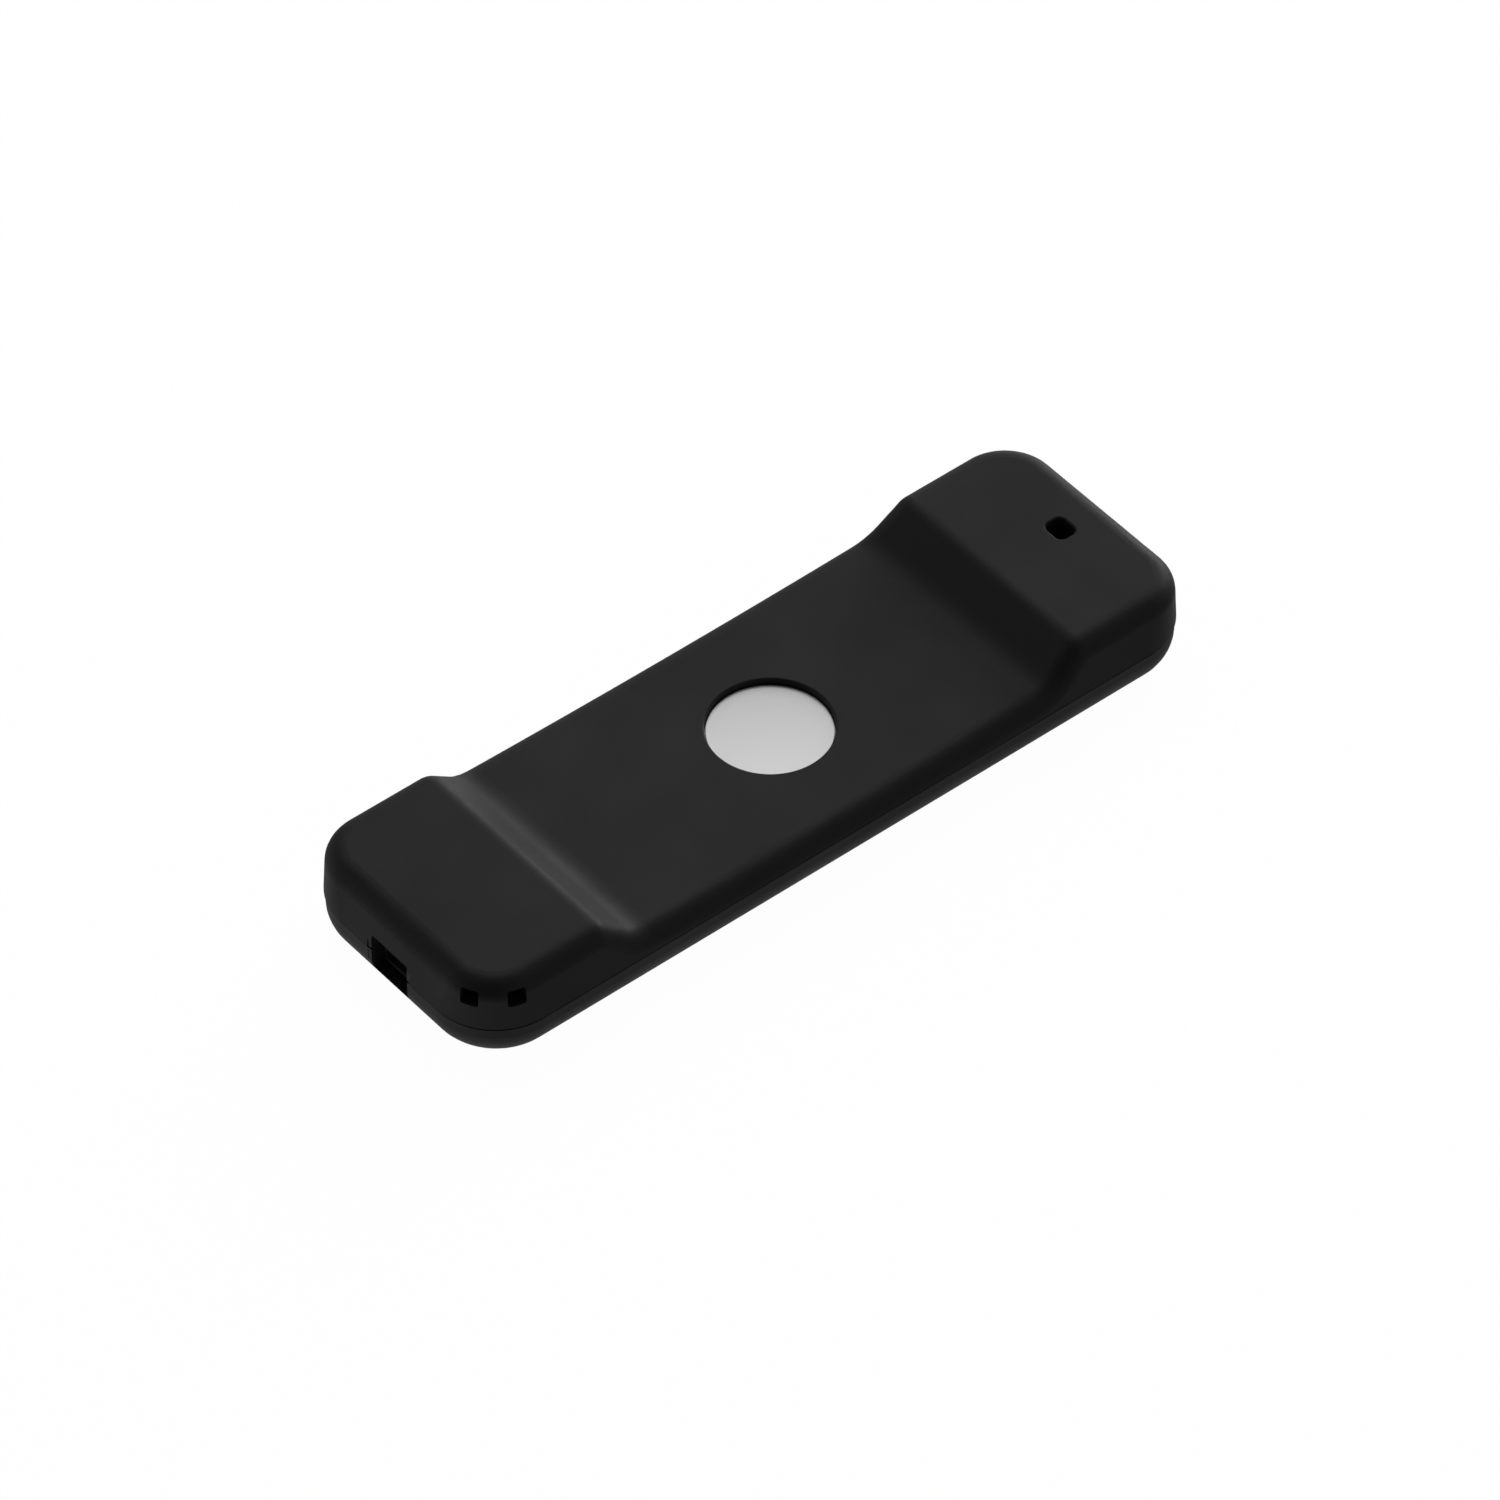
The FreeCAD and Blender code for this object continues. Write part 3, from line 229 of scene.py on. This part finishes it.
# Slot: darker colour, lighter colour, roughness from and to, and what differs from a plain finish.
FINISHES = {
    "silicone": ((0.0075, 0.0075, 0.0075), (0.016, 0.016, 0.016), (0.48, 0.62), {
        "grain": 2600, "cloud": 90, "sockets": {"IOR": 1.41, "Sheen Weight": 0.05, "Sheen Roughness": 0.5}}),
    "magnet_nickel": ((0.60, 0.58, 0.53), (0.74, 0.72, 0.68), (0.15, 0.28), {"metallic": 1.0}),
    "housing_metal": ((0.72, 0.72, 0.72), (0.80, 0.80, 0.80), (0.50, 0.60), {
        "grain": 2500, "relief": 0.006, "cloud": 40, "metallic": 1.0}),
    "badge_metal": ((0.74, 0.74, 0.745), (0.80, 0.80, 0.805), (0.34, 0.42), {
        "grain": 3500, "relief": 0.006, "metallic": 1.0}),
    "shell_plastic": ((0.020, 0.020, 0.021), (0.034, 0.034, 0.036), (0.5, 0.62), {"grain": 3500}),
    "gloss_plate": ((0.006, 0.006, 0.007), (0.010, 0.010, 0.011), (0.08, 0.16), {
        "grain": 300, "relief": 0.002}),
    "frame_plastic": ((0.07, 0.07, 0.075), (0.12, 0.12, 0.125), (0.45, 0.6), {}),
    "key_plastic": ((0.030, 0.030, 0.032), (0.050, 0.050, 0.053), (0.4, 0.52), {
        "grain": 4000, "relief": 0.012}),
    "steel_small": ((0.48, 0.48, 0.47), (0.64, 0.64, 0.63), (0.22, 0.38), {
        "grain": 900, "relief": 0.01, "metallic": 1.0, "streak": (1, 12, 1)}),
    "circuit_board": ((0.008, 0.055, 0.026), (0.02, 0.12, 0.06), (0.3, 0.42), {
        "grain": 1500, "relief": 0.01, "cloud": 400}),
    "film": ((0.28, 0.12, 0.02), (0.42, 0.22, 0.05), (0.2, 0.34), {}),
    "chip_black": ((0.012, 0.012, 0.012), (0.026, 0.026, 0.026), (0.5, 0.65), {"grain": 6000, "relief": 0.01}),
    "sensor_metal": ((0.58, 0.57, 0.53), (0.74, 0.73, 0.69), (0.2, 0.34), {"metallic": 1.0}),
    "ceramic": ((0.32, 0.26, 0.19), (0.50, 0.43, 0.34), (0.5, 0.7), {"grain": 5000, "relief": 0.015}),
    "gasket_rubber": ((0.018, 0.018, 0.018), (0.04, 0.04, 0.04), (0.75, 0.9), {"grain": 4000, "relief": 0.04}),
    "battery_pouch": ((0.40, 0.41, 0.43), (0.55, 0.56, 0.58), (0.35, 0.5), {
        "grain": 800, "relief": 0.03, "metallic": 1.0}),
    "socket_metal": ((0.42, 0.42, 0.42), (0.60, 0.60, 0.60), (0.25, 0.4), {
        "grain": 900, "relief": 0.01, "metallic": 1.0, "streak": (10, 1, 1)}),
    "contact_gold": ((0.72, 0.50, 0.16), (0.86, 0.68, 0.30), (0.18, 0.3), {"metallic": 1.0}),
    "ir_dark": ((0.012, 0.003, 0.006), (0.03, 0.006, 0.012), (0.06, 0.14), {"grain": 300, "relief": 0.002}),
    "clear_resin": ((0.60, 0.63, 0.66), (0.78, 0.80, 0.83), (0.08, 0.16), {"grain": 600, "relief": 0.003}),
}
MATERIALS = {
    name: finish_material(name, low, high, rough, **rest) for name, (low, high, rough, rest) in FINISHES.items()
}

for part in frame["record"]["subparts"]:
    mesh = NODES[part["node"]].data
    mesh.materials.clear()
    mesh.materials.append(MATERIALS[part["material_slot"]])


# ---------- printed key legends ----------

KEY_FACE = 1.2 * MM
PRINT = 0.02 * MM
ARC_STEPS = 28
STROKE = 0.34
THIN = STROKE * 0.8


def bar(start, end, width):
    """A straight stroke as an outline, in millimetres."""
    along = (Vector(end) - Vector(start)).normalized()
    aside = Vector((-along.y, along.x)) * width / 2
    start, end = Vector(start), Vector(end)
    return [start + aside, end + aside, end - aside, start - aside]


def sweep(middle, radius, first, last):
    """Points along part of a circle; angles in degrees, 90 towards the handset's top."""
    turns = [math.radians(first + (last - first) * step / ARC_STEPS) for step in range(ARC_STEPS + 1)]
    return [Vector(middle) + Vector((radius * math.cos(turn), radius * math.sin(turn))) for turn in turns]


def arc(middle, radius, width, first, last):
    """A curved stroke as an outline."""
    inner = sweep(middle, radius - width / 2, first, last)
    return sweep(middle, radius + width / 2, first, last) + inner[::-1]


def legend(name, body, centre, outlines):
    """Flat ink on a key face. Outlines run right and up as the keys are read; up is +X and right is +Y."""
    mesh = bpy.data.meshes.new(name)
    ink = bmesh.new()
    for outline in outlines:
        places = [((centre[0] + up) * MM, (centre[1] + right) * MM) for right, up in outline]
        low = [ink.verts.new((x, y, KEY_FACE - PRINT)) for x, y in places]
        high = [ink.verts.new((x, y, KEY_FACE)) for x, y in places]
        ink.faces.new(low)
        ink.faces.new(high[::-1])
        for here in range(len(low)):
            ink.faces.new((low[here - 1], high[here - 1], high[here], low[here]))
    bmesh.ops.recalc_face_normals(ink, faces=ink.faces)
    ink.to_mesh(mesh)
    ink.free()
    mesh.materials.append(MATERIALS["clear_resin"])
    piece = bpy.data.objects.new(name, mesh)
    scene.collection.objects.link(piece)
    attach(piece, body)


# Name, body, centre in millimetres and outlines.
LEGENDS = (
    ("power_legend", "key_power", (50.5, 8), [
        arc((0, 0), 1.35, STROKE, 128, 412),
        bar((0, 0.35), (0, 1.95), STROKE),
    ]),
    ("voice_legend", "key_voice", (50.5, -8), [
        sweep((0, 0.85), 0.55, 0, 180) + sweep((0, 0.1), 0.55, 180, 360),
        arc((0, 0.1), 1.15, THIN, 180, 360),
        bar((0, -1.2), (0, -1.85), THIN),
        bar((-0.6, -1.9), (0.6, -1.9), THIN),
    ]),
    ("back_legend", "key_back", (12, 8), [
        [(-1.5, 0), (0.35, 1.65), (0.65, 1.35), (-0.9, 0), (0.65, -1.35), (0.35, -1.65)],
    ]),
    ("home_legend", "key_home", (12, -8), [
        [(-1.75, 0.15), (0, 1.65), (1.75, 0.15), (1.2, 0.15), (1.2, -1.4), (0.4, -1.4), (0.4, -0.45),
         (-0.4, -0.45), (-0.4, -1.4), (-1.2, -1.4), (-1.2, 0.15)],
    ]),
    ("play_legend", "key_play", (2, 8), [
        [(-1.6, 1.2), (0.3, 0), (-1.6, -1.2)],
        bar((0.8, 1.2), (0.8, -1.2), STROKE),
        bar((1.45, 1.2), (1.45, -1.2), STROKE),
    ]),
    ("mute_legend", "key_mute", (-8, 8), [
        [(-1.6, 0.55), (-0.8, 0.55), (0.1, 1.35), (0.1, -1.35), (-0.8, -0.55), (-1.6, -0.55)],
        bar((0.55, 0.6), (1.65, -0.6), THIN),
        bar((0.55, -0.6), (1.65, 0.6), THIN),
    ]),
    ("louder_legend", "volume_rocker", (2, -8), [
        bar((-1.1, 0), (-STROKE / 2, 0), STROKE),
        bar((STROKE / 2, 0), (1.1, 0), STROKE),
        bar((0, -1.1), (0, 1.1), STROKE),
    ]),
    ("softer_legend", "volume_rocker", (-8, -8), [
        bar((-1.1, 0), (1.1, 0), STROKE),
    ]),
)
for name, body, centre, outlines in LEGENDS:
    legend(name, body, centre, outlines)

RING_X = 31
DOT_REACH = 9.3
DOT = arc((0, 0), 0.15, 0.29, 0, 355)
for key, right, up in (("key_up", 0, 1), ("key_right", 1, 0), ("key_down", 0, -1), ("key_left", -1, 0)):
    legend(key + "_legend", key, (RING_X + up * DOT_REACH, right * DOT_REACH), [DOT])
